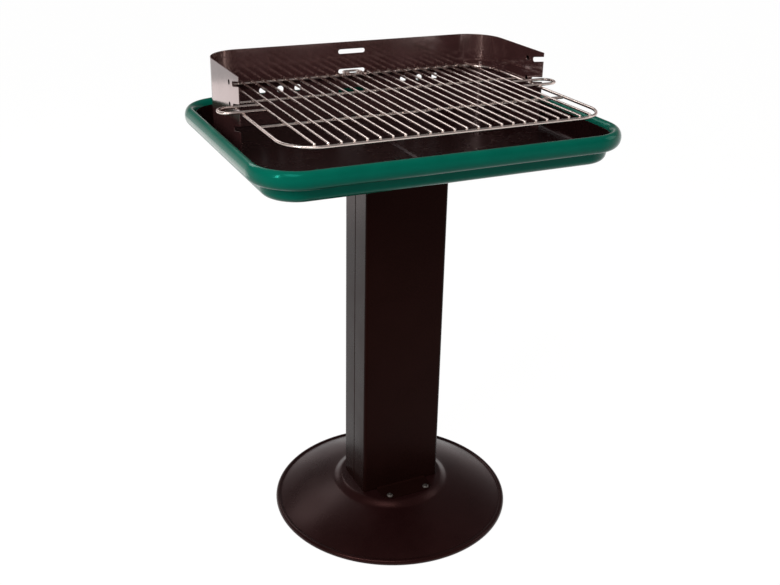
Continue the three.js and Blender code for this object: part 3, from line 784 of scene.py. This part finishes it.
def pan_head_screw(size, length):
    """Half the section from the crown down over the thread, spun round, with the cross punched in."""
    head, rise, shank = size["head"], size["rise"], size["shank"]
    crown = CROWN * head
    bm, end = start(0, 0, rise)
    end = reach(bm, end, (head - crown, 0, rise))
    end = swing(bm, end, (head - crown, 0, rise - crown), ALONG_Y, 90, 5)
    end = reach(bm, end, (head, 0, 0), (shank, 0, 0))
    pitch = THREAD_PITCH * shank
    for turn in range(int(length / pitch)):
        groove, crest = -(turn + 0.5) * pitch, -(turn + 1) * pitch
        end = reach(bm, end, (THREAD_ROOT * shank, 0, groove), (shank, 0, crest))
    reach(bm, end, (THREAD_TIP * shank, 0, -length), (0, 0, -length))
    turned(bm, 24)
    return punched(bm, cross_punch(size))


def hexagon_nut(size):
    """A hexagon filled round its hole and pushed up."""
    bm = bmesh.new()
    corner = size["flats"] / 2 / math.cos(math.radians(30))
    turn = Matrix.Rotation(math.radians(30), 4, "Z")
    bmesh.ops.create_circle(bm, radius=corner / 1000, segments=6, matrix=turn)
    bmesh.ops.create_circle(bm, radius=(size["shank"] + NUT_PLAY) / 1000, segments=24)
    bmesh.ops.triangle_fill(bm, edges=bm.edges[:], use_beauty=True)
    push(bm, bm.faces[:], 0, 0, size["nut"])
    bmesh.ops.recalc_face_normals(bm, faces=bm.faces[:])
    return bm


def screw_set(name, size, places, head_height, nut_height, finish):
    """Screws with their heads on one height and their nuts' undersides on another."""
    length = head_height - nut_height + size["tail"]
    for i, (x, y) in enumerate(places, 1):
        drawings = (
            ("pan_head", "screw", pan_head_screw(size, length), head_height, HEAD_EDGE),
            ("hexagon", "nut", hexagon_nut(size), nut_height, NUT_EDGE))
        for shape, node, bm, height, edge in drawings:
            bmesh.ops.translate(bm, verts=bm.verts[:], vec=mm(x, y, height))
            finish_piece(f"{name}_{shape}_{i}", bm, "stand", "zinc", f"{name}_{node}_{i}",
                         edge=edge, finish=finish)


flange_places = [(side * FLANGE_SCREW_X, end * FLANGE_SCREW_Y) for end in (-1, 1) for side in (-1, 1)]
guard_places = [(-GUARD_SCREW_X, TAB_Y), (0, GUARD_SCREW_Y), (GUARD_SCREW_X, TAB_Y)]
screw_set("foot", FLANGE_SCREW, flange_places, FOOT_HEADS, FOOT_NUTS, "zinc")
screw_set("head", FLANGE_SCREW, flange_places, PAN_HEADS, PAN_NUTS, "burnt_zinc")
screw_set("guard", GUARD_SCREW, guard_places, TAB_HEADS, TAB_NUTS, "burnt_zinc")

# %% [markdown]
# ## The wire grid
# The grid is welded from drawn wire: a frame bent round, 24 bars lying across it, two cross wires
# under the bars, a lug on each side and a hook behind. A curve with a round bevel would do, but a ring
# that is pushed and swung gives the same wire with clean bends, and the cropped ends of the bars get the
# small chamfer that a wire cutter and a barrel finish leave.

# %% Frame and straight wire
FRAME_WIRE, BAR_WIRE, FRAME_LEVEL, BAR_LEVEL, LUG_LEVEL = 2.5, 2, 776.7, 781.5, 782
FRAME_HALF, FRAME_CORNER, FRAME_MIDDLE, FRAME_DEEP = 266.8, 54.3, -8.7, 202.5
CROSS_FRONT, CROSS_REAR, CROSS_HALF = -83.7, 66.3, 264
BARS, FIRST_BAR, BAR_OVERHANG = 24, 229.1, 1.5
WIRE_SIDES, CROP_SHARE = 16, 0.35


def ring(bm, radius, place, axis_turn):
    """A ring of a wire's radius at a place, facing along an axis, and its geometry."""
    turn = Matrix.Translation(mm(*place)) @ axis_turn
    verts = bmesh.ops.create_circle(bm, radius=radius / 1000, segments=WIRE_SIDES, matrix=turn)["verts"]
    return verts + once(e for v in verts for e in v.link_edges)


def frame_wire():
    """The closed frame: a ring swept round the rectangle."""
    bm = bmesh.new()
    corner_x, corner_y = FRAME_HALF - FRAME_CORNER, FRAME_DEEP - FRAME_CORNER
    ring(bm, FRAME_WIRE, (FRAME_HALF, FRAME_MIDDLE - corner_y, FRAME_LEVEL), FACING_Y)
    sweep_round(bm, corner_x, corner_y, FRAME_MIDDLE, 16)
    return bm


def straight_wire(radius, half_length, axis_turn, place):
    """A cropped wire: half its section with a chamfer at each end, spun round its own length."""
    crop = CROP_SHARE * radius
    bm, end = start(0, 0, -half_length)
    end = reach(bm, end, (radius - crop, 0, -half_length), (radius, 0, crop - half_length),
                (radius, 0, half_length - crop), (radius - crop, 0, half_length), (0, 0, half_length))
    turned(bm, WIRE_SIDES)
    bmesh.ops.transform(bm, matrix=Matrix.Translation(mm(*place)) @ axis_turn, verts=bm.verts[:])
    return bm


finish_piece("frame_wire", frame_wire(), "grid", "chrome", "grid_frame")
for end_name, cross_y in (("front", CROSS_FRONT), ("rear", CROSS_REAR)):
    cross = straight_wire(FRAME_WIRE, CROSS_HALF, FACING_X, (0, cross_y, FRAME_LEVEL))
    finish_piece(f"cross_wire_{end_name}", cross, "grid", "chrome", f"grid_cross_{end_name}")

# %% [markdown]
# ### Lugs and hook
# The lugs are what the grid hangs by: a U of frame wire on each side that reaches out through a wing's
# slot and gives a finger something to lift. The hook behind is a U of bar wire with two tight bends, which
# goes into the back's slot. Both are rings taken round their bends, with closed ends.

# %% Lugs and hook
LUG_FRONT, LUG_RADIUS, LUG_BEND_X, WELD_GAP = -10, 17, 285.5, 0.3
HOOK_HALF, HOOK_RADIUS, HOOK_START, HOOK_REACH = 16, 8, 169.8, 27.2
END_CHAMFER = 0.5


def closed_ends(bm):
    """Close the cropped ends of a bent wire, with a small chamfer."""
    bmesh.ops.holes_fill(bm, edges=[e for e in bm.edges if e.is_boundary], sides=0)
    caps = [f for f in bm.faces if len(f.verts) > 4]
    rims = once(e for f in caps for e in f.edges)
    bmesh.ops.bevel(bm, geom=rims, offset=END_CHAMFER / 1000, segments=2, profile=0.5, affect="EDGES",
                    material=-1)
    bmesh.ops.recalc_face_normals(bm, faces=bm.faces[:])


def lug_wire(side):
    """A U of wire that reaches out through the wing's slot."""
    bm = bmesh.new()
    inner = FIRST_BAR + BAR_WIRE + WELD_GAP
    end = ring(bm, FRAME_WIRE, (side * inner, SEAT_Y, LUG_LEVEL), FACING_X)
    end = push(bm, end, side * (LUG_BEND_X - inner), 0, 0)
    bend = (side * LUG_BEND_X, LUG_FRONT + LUG_RADIUS, LUG_LEVEL)
    end = swing(bm, end, bend, ALONG_Z, -180 * side, 20)
    push(bm, end, -side * (LUG_BEND_X - inner), 0, 0)
    closed_ends(bm)
    return bm


def hook_wire():
    """The hook behind the frame that drops into the guard's rear slot."""
    bm = bmesh.new()
    bend_x, bend_y = HOOK_HALF - HOOK_RADIUS, HOOK_START + HOOK_REACH
    end = ring(bm, BAR_WIRE, (-HOOK_HALF, HOOK_START, BAR_LEVEL), FACING_Y)
    end = push(bm, end, 0, HOOK_REACH, 0)
    end = swing(bm, end, (-bend_x, bend_y, BAR_LEVEL), ALONG_Z, -90, 8)
    end = push(bm, end, 2 * bend_x, 0, 0)
    end = swing(bm, end, (bend_x, bend_y, BAR_LEVEL), ALONG_Z, -90, 8)
    push(bm, end, 0, -HOOK_REACH, 0)
    closed_ends(bm)
    return bm


finish_piece("lug_wire_left", lug_wire(-1), "grid", "chrome", "grid_lug_left")
finish_piece("lug_wire_right", lug_wire(1), "grid", "chrome", "grid_lug_right")
finish_piece("hook_wire", hook_wire(), "grid", "chrome", "grid_rear_hook")

# %% [markdown]
# ## The bars and their welds
# The bars stand 19.9 mm apart, and the outer ones are shorter, because the frame bends away at its corners.
# Where two wires cross, a spot welder presses them together until they melt into each other, which leaves
# a small flat bead. Every crossing gets one, all in a single piece.

# %% Bars and welds
BEAD_HALF_WIDE, BEAD_HALF_HIGH = 2.3, 0.9


def bar(x):
    """One bar, as long as the frame is deep at its place, and its weld places."""
    into_corner = max(abs(x) - FRAME_HALF + FRAME_CORNER, 0)
    half = FRAME_DEEP - FRAME_CORNER + math.sqrt(FRAME_CORNER ** 2 - into_corner ** 2)
    wire = straight_wire(BAR_WIRE, half + BAR_OVERHANG, FACING_Y, (x, FRAME_MIDDLE, BAR_LEVEL))
    return wire, [(x, y) for y in (FRAME_MIDDLE - half, CROSS_FRONT, CROSS_REAR, FRAME_MIDDLE + half)]


weld_places = []
for i in range(BARS):
    wire, places = bar(FIRST_BAR * (2 * i / (BARS - 1) - 1))
    weld_places += places
    finish_piece(f"bar_{i + 1:02d}", wire, "grid", "chrome", f"grid_bar_{i + 1:02d}")
weld_places += [(side * FRAME_HALF, y) for side in (-1, 1) for y in (SEAT_Y, LUG_FRONT)]
weld_places += [(side * HOOK_HALF, FRAME_MIDDLE + FRAME_DEEP) for side in (-1, 1)]


def weld_beads():
    """A flattened bead between the two wires at each crossing."""
    bm = bmesh.new()
    flat = Matrix.Diagonal((BEAD_HALF_WIDE, BEAD_HALF_WIDE, BEAD_HALF_HIGH, 1))
    level = FRAME_LEVEL + FRAME_WIRE + WELD_GAP / 2
    for x, y in weld_places:
        place = Matrix.Translation(mm(x, y, level))
        bmesh.ops.create_uvsphere(bm, u_segments=8, v_segments=5, radius=0.001, matrix=place @ flat)
    return bm


finish_piece("weld_beads", weld_beads(), "grid", "chrome")
print(len(weld_places), "welds")

# %% [markdown]
# ## Floor and world
# The photograph is a plain studio shot on white. The floor glows white for the camera and in reflections,
# but keeps a fifth of its real shading, so the shadow of the barbecue stays. For all other rays it is plain
# grey paper, which throws less light up under the tray than white would. The world is white for the camera,
# and a soft gradient that is bright near the ground and dim above for all else, because polished enamel
# shows it: a dim ceiling is what keeps the pan and the column deep black. Low down it is a little warm,
# which gives the pale reflections on the black foot the faint brown that the photograph has.

# %% Floor and world
FLOOR_HALF = 30
GLOW_SHARE, GLOW = 0.8, 1.22  # together with the lit paper they come out just white
WORLD_STOPS = ((0, 0.95, 0.86), (0.12, 0.75, 0.86), (0.3, 0.22, 0.93), (0.55, 0.14, 1), (1, 0.3, 1))


def studio_floor():
    """A wide white floor that glows for the camera and for mirrors, and still takes a shadow."""
    material, tree = new_finish("white studio floor, matt paper")
    rays = add_node(tree, "ShaderNodeLightPath").outputs
    seen = add_node(tree, "ShaderNodeMath", {
        0: rays["Is Camera Ray"], 1: rays["Is Glossy Ray"]}, operation="ADD")
    seen = add_node(tree, "ShaderNodeMath", {
        0: seen.outputs[0], 1: rays["Is Transmission Ray"]}, operation="ADD", use_clamp=True)
    share = add_node(tree, "ShaderNodeMath", {0: seen.outputs[0], 1: GLOW_SHARE}, operation="MULTIPLY")
    paper = add_node(tree, "ShaderNodeBsdfDiffuse", {"Color": linear("#9C9A96")})
    glow = add_node(tree, "ShaderNodeEmission", {"Color": (1, 1, 1, 1), "Strength": GLOW})
    surface = add_node(tree, "ShaderNodeMixShader", {
        0: share.outputs[0], 1: paper.outputs["BSDF"], 2: glow.outputs["Emission"]})
    add_node(tree, "ShaderNodeOutputMaterial", {"Surface": surface.outputs["Shader"]})
    bm = bmesh.new()
    bmesh.ops.create_grid(bm, x_segments=1, y_segments=1, size=FLOOR_HALF)
    floor = placed("studio_floor", bm)
    floor.data.materials.append(material)


def studio_world():
    """White behind the object for the camera, and a gradient by height for all else."""
    world = bpy.data.worlds.new("studio gradient")
    bpy.context.scene.world = world
    world.use_nodes = True
    tree = world.node_tree
    tree.nodes.clear()
    rays = add_node(tree, "ShaderNodeLightPath").outputs
    up = add_node(tree, "ShaderNodeTexCoord").outputs["Generated"]
    height = add_node(tree, "ShaderNodeSeparateXYZ", {0: up}).outputs["Z"]
    ramp = add_node(tree, "ShaderNodeValToRGB", {0: height})
    elements = ramp.color_ramp.elements
    while len(elements) < len(WORLD_STOPS):
        elements.new(0.5)
    for element, (place, level, cool_share) in zip(elements, WORLD_STOPS):
        element.position = place
        element.color = (level, level * cool_share, level * cool_share, 1)
    room = add_node(tree, "ShaderNodeBackground", {"Color": ramp.outputs["Color"], "Strength": 1})
    white = add_node(tree, "ShaderNodeBackground", {"Color": (1, 1, 1, 1), "Strength": 1})
    shown = add_node(tree, "ShaderNodeMixShader", {
        0: rays["Is Camera Ray"], 1: room.outputs[0], 2: white.outputs[0]})
    add_node(tree, "ShaderNodeOutputWorld", {"Surface": shown.outputs[0]})


studio_floor()
studio_world()

# %% [markdown]
# ## Lamps and camera
# A softbox high on the left is the main light, and its soft edge draws the highlights on the rolled rim.
# A low panel behind on the left stands where the guard's left wing mirrors it, which makes that wing pale
# against the dark back. A narrow strip gives the upright streaks in the guard's right corner, a wide box
# behind draws a bright line along each bar, and a weak one on the right keeps that side readable. Lamps
# with one clear job each are easier to tune than one large sky. The camera is the one that the straight
# edges and the round foot of the photograph give.

# %% Lamps and camera
def softbox(name, place, target, width, height, radiance, colour=(1, 1, 1)):
    """A rectangular area lamp turned to a target; its power follows from how bright it looks."""
    lamp = bpy.data.lights.new(name, "AREA")
    lamp.color = colour
    lamp.shape = "RECTANGLE"
    lamp.size = width
    lamp.size_y = height
    lamp.energy = radiance * math.pi * width * height
    holder = bpy.data.objects.new(name, lamp)
    holder.location = place
    holder.rotation_euler = (Vector(target) - Vector(place)).to_track_quat("-Z", "Y").to_euler()
    holder.visible_camera = False
    bpy.context.scene.collection.objects.link(holder)


softbox("key_softbox", (-1.1, -1.6, 2.9), (0, 0, 0.6), 1.3, 1.3, 6)
softbox("left_panel", (-0.9, 1.35, 0.25), (-0.27, 0.09, 0.77), 1.0, 0.45, 1.02, (1, 0.86, 0.84))
softbox("streak_strip", (-1.66, -0.92, 1.6), (0, 0.1, 0.75), 0.16, 0.8, 44)
softbox("rear_softbox", (-0.5, 2.5, 2.4), (0, 0, 0.78), 1.8, 0.6, 3.2)
softbox("right_fill", (2.2, -0.6, 1.7), (0, 0, 0.6), 1.0, 1.0, 1.6)

CAMERA_PLACE = (-0.72209, -1.49677, 1.183)
CAMERA_RIGHT = (0.906288, -0.422222, 0.019229)
CAMERA_UP = (0.158682, 0.382069, 0.910408)
CAMERA_BACK = (-0.391741, -0.822041, 0.413263)
LENS, SENSOR = 47.3677, 36
camera = bpy.data.objects.new("photo_camera", bpy.data.cameras.new("photo_camera"))
camera.data.lens = LENS
camera.data.sensor_width = SENSOR
turn = Matrix((CAMERA_RIGHT, CAMERA_UP, CAMERA_BACK)).transposed().to_4x4()
camera.matrix_world = Matrix.Translation(CAMERA_PLACE) @ turn
bpy.context.scene.collection.objects.link(camera)
bpy.context.scene.camera = camera
bpy.context.scene.view_settings.view_transform = "Standard"
